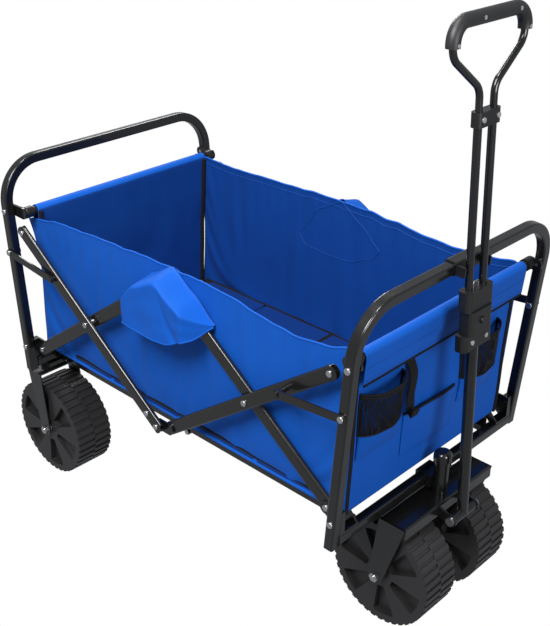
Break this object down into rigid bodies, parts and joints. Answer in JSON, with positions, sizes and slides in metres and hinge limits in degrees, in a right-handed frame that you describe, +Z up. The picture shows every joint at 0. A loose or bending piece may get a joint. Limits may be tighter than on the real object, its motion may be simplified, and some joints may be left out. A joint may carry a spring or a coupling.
{
  "type": "folding beach cart",
  "caption": "Blue folding beach cart on a black tube frame with scissor sides, wide plastic wheels and an upright telescoping handle.",
  "frame": {"origin": "on the ground midway between the axles on the centre plane", "axes": "+X to the steered end with the handle, +Z up"},
  "size_m": [0.97, 0.5344, 1.0364],
  "materials": {
    "frame_paint": "semi-gloss black powder coat",
    "bar_paint": "charcoal powder coat",
    "rod_plastic": "satin black moulding",
    "grip_rubber": "soft black grip",
    "wheel_plastic": "dark grey moulded plastic",
    "bright_metal": "zinc plated",
    "blue_cloth": "royal blue coated polyester",
    "mat_cloth": "blue polyester over stiffened board"
  },
  "bodies": {
    "front_frame": {"front_hoop": "frame_paint", "front_cross_tube": "frame_paint", "front_corner_brackets": "frame_paint", "front_hem_rod": "rod_plastic", "front_hem_brackets": "frame_paint", "front_rivets": "bright_metal", "steering_head": "frame_paint", "parking_clip": "rod_plastic", "front_panel": "blue_cloth", "front_pockets": "blue_cloth", "side_panel_left": "blue_cloth", "side_panel_right": "blue_cloth", "side_flaps": "blue_cloth"},
    "rear_frame": {"rear_hoop": "frame_paint", "rear_cross_tube": "frame_paint", "rear_corner_brackets": "frame_paint", "rear_hem_rod": "rod_plastic", "rear_hem_brackets": "frame_paint", "rear_rivets": "bright_metal", "rear_panel": "blue_cloth", "rear_forks": "frame_paint", "rear_axle_bolts": "bright_metal"},
    "front_floor": {"floor_frame_front": "frame_paint", "floor_mat_front": "mat_cloth", "floor_hinge_pins": "bright_metal"},
    "rear_floor": {"floor_frame_rear": "frame_paint", "floor_mat_rear": "mat_cloth"},
    "front_inner": {"front_inner_bars": "bar_paint", "front_inner_rivets": "bright_metal"},
    "front_outer": {"front_outer_bars": "bar_paint", "front_outer_rivets": "bright_metal"},
    "rear_inner": {"rear_inner_bars": "bar_paint", "rear_inner_rivets": "bright_metal"},
    "rear_outer": {"rear_outer_bars": "bar_paint", "rear_outer_rivets": "bright_metal"},
    "upper_hubs": {"upper_hub_brackets": "frame_paint"},
    "lower_hubs": {"lower_hub_brackets": "frame_paint"},
    "front_link_pair": {"front_links": "bar_paint"},
    "rear_link_pair": {"rear_links": "bar_paint"},
    "steered_axle": {"axle_beam": "frame_paint", "front_fork_plates": "frame_paint", "kingpin": "bright_metal", "yoke_lugs": "frame_paint", "yoke_bolt": "bright_metal", "front_axle_bolts": "bright_metal"},
    "wheel_fl": {"front_wheel_left": "wheel_plastic"},
    "wheel_fr": {"front_wheel_right": "wheel_plastic"},
    "wheel_rl": {"rear_wheel_left": "wheel_plastic"},
    "wheel_rr": {"rear_wheel_right": "wheel_plastic"},
    "handle_lower": {"handle_tube": "frame_paint", "handle_guide": "rod_plastic", "latch_spring": "bright_metal"},
    "latch": {"latch_button": "rod_plastic"},
    "handle_upper": {"twin_tubes": "frame_paint", "lower_collar": "rod_plastic", "top_clamp": "rod_plastic", "loop_tube": "frame_paint", "grip": "grip_rubber", "handle_fasteners": "bright_metal"}
  },
  "joints": [
    {"name": "fold", "type": "hinge", "parent": "front_frame", "child": "front_floor", "pos_m": [0.369, 0, 0.284], "axis": [0, 1, 0], "range_deg": [0, 84], "deforming": ["side_panel_left", "side_panel_right", "side_flaps"]},
    {"name": "floor_middle", "type": "hinge", "parent": "front_floor", "child": "rear_floor", "pos_m": [-0.009, 0, 0.242], "axis": [0, 1, 0], "range_deg": [-168, 0]},
    {"name": "rear_floor_pivot", "type": "hinge", "parent": "rear_floor", "child": "rear_frame", "pos_m": [-0.387, 0, 0.284], "axis": [0, 1, 0], "range_deg": [0, 84]},
    {"name": "front_bar_pivot", "type": "hinge", "parent": "front_frame", "child": "front_inner", "pos_m": [0.358, 0, 0.28949], "axis": [0, 1, 0], "range_deg": [0, 46.26]},
    {"name": "front_crossing", "type": "hinge", "parent": "front_inner", "child": "front_outer", "pos_m": [0.188, 0, 0.413], "axis": [0, 1, 0], "range_deg": [-92.52, 0]},
    {"name": "upper_hub", "type": "hinge", "parent": "front_inner", "child": "upper_hubs", "pos_m": [0.002, 0, 0.54814], "axis": [0, 1, 0], "range_deg": [-46.26, 0]},
    {"name": "lower_hub", "type": "hinge", "parent": "front_outer", "child": "lower_hubs", "pos_m": [0.002, 0, 0.27786], "axis": [0, 1, 0], "range_deg": [0, 46.26]},
    {"name": "front_link_pivot", "type": "hinge", "parent": "front_frame", "child": "front_link_pair", "pos_m": [0.4052, 0, 0.48994], "axis": [0, 1, 0], "range_deg": [0, 67.97]},
    {"name": "rear_bar_pivot", "type": "hinge", "parent": "rear_frame", "child": "rear_inner", "pos_m": [-0.376, 0, 0.28949], "axis": [0, 1, 0], "range_deg": [-46.26, 0]},
    {"name": "rear_crossing", "type": "hinge", "parent": "rear_inner", "child": "rear_outer", "pos_m": [-0.206, 0, 0.413], "axis": [0, 1, 0], "range_deg": [0, 92.52]},
    {"name": "rear_link_pivot", "type": "hinge", "parent": "rear_frame", "child": "rear_link_pair", "pos_m": [-0.4232, 0, 0.48994], "axis": [0, 1, 0], "range_deg": [-67.97, 0]},
    {"name": "steer", "type": "hinge", "parent": "front_frame", "child": "steered_axle", "pos_m": [0.415, 0, 0.226], "axis": [0, 0, 1], "range_deg": [-12, 12]},
    {"name": "front_left_spin", "type": "hinge", "parent": "steered_axle", "child": "wheel_fl", "pos_m": [0.385, 0.076, 0.1], "axis": [0, 1, 0], "continuous": true},
    {"name": "front_right_spin", "type": "hinge", "parent": "steered_axle", "child": "wheel_fr", "pos_m": [0.385, -0.076, 0.1], "axis": [0, 1, 0], "continuous": true},
    {"name": "rear_left_spin", "type": "hinge", "parent": "rear_frame", "child": "wheel_rl", "pos_m": [-0.385, 0.201, 0.1], "axis": [0, 1, 0], "continuous": true},
    {"name": "rear_right_spin", "type": "hinge", "parent": "rear_frame", "child": "wheel_rr", "pos_m": [-0.385, -0.201, 0.1], "axis": [0, 1, 0], "continuous": true},
    {"name": "handle_pitch", "type": "hinge", "parent": "steered_axle", "child": "handle_lower", "pos_m": [0.464, 0, 0.207], "axis": [0, 1, 0], "range_deg": [0, 105]},
    {"name": "handle_slide", "type": "slide", "parent": "handle_lower", "child": "handle_upper", "axis": [-0.0523, 0, 0.9986], "range_m": [-0.2, 0]},
    {"name": "latch_press", "type": "slide", "parent": "handle_lower", "child": "latch", "axis": [-0.9986, 0, -0.0523], "range_m": [0, 0.0025], "stiffness_N_per_m": 400, "springref_m": -0.001}
  ],
  "couplings": [
    {"joint": "floor_middle", "follows": "fold", "ratio": -2},
    {"joint": "rear_floor_pivot", "follows": "fold", "ratio": 1},
    {"joint": "front_bar_pivot", "follows": "fold", "ratio": 0.5507},
    {"joint": "front_crossing", "follows": "fold", "ratio": -1.1014},
    {"joint": "upper_hub", "follows": "fold", "ratio": -0.5507},
    {"joint": "lower_hub", "follows": "fold", "ratio": 0.5507},
    {"joint": "front_link_pivot", "follows": "fold", "ratio": 0.8092},
    {"joint": "rear_bar_pivot", "follows": "fold", "ratio": -0.5507},
    {"joint": "rear_crossing", "follows": "fold", "ratio": 1.1014},
    {"joint": "rear_link_pivot", "follows": "fold", "ratio": -0.8092}
  ]
}
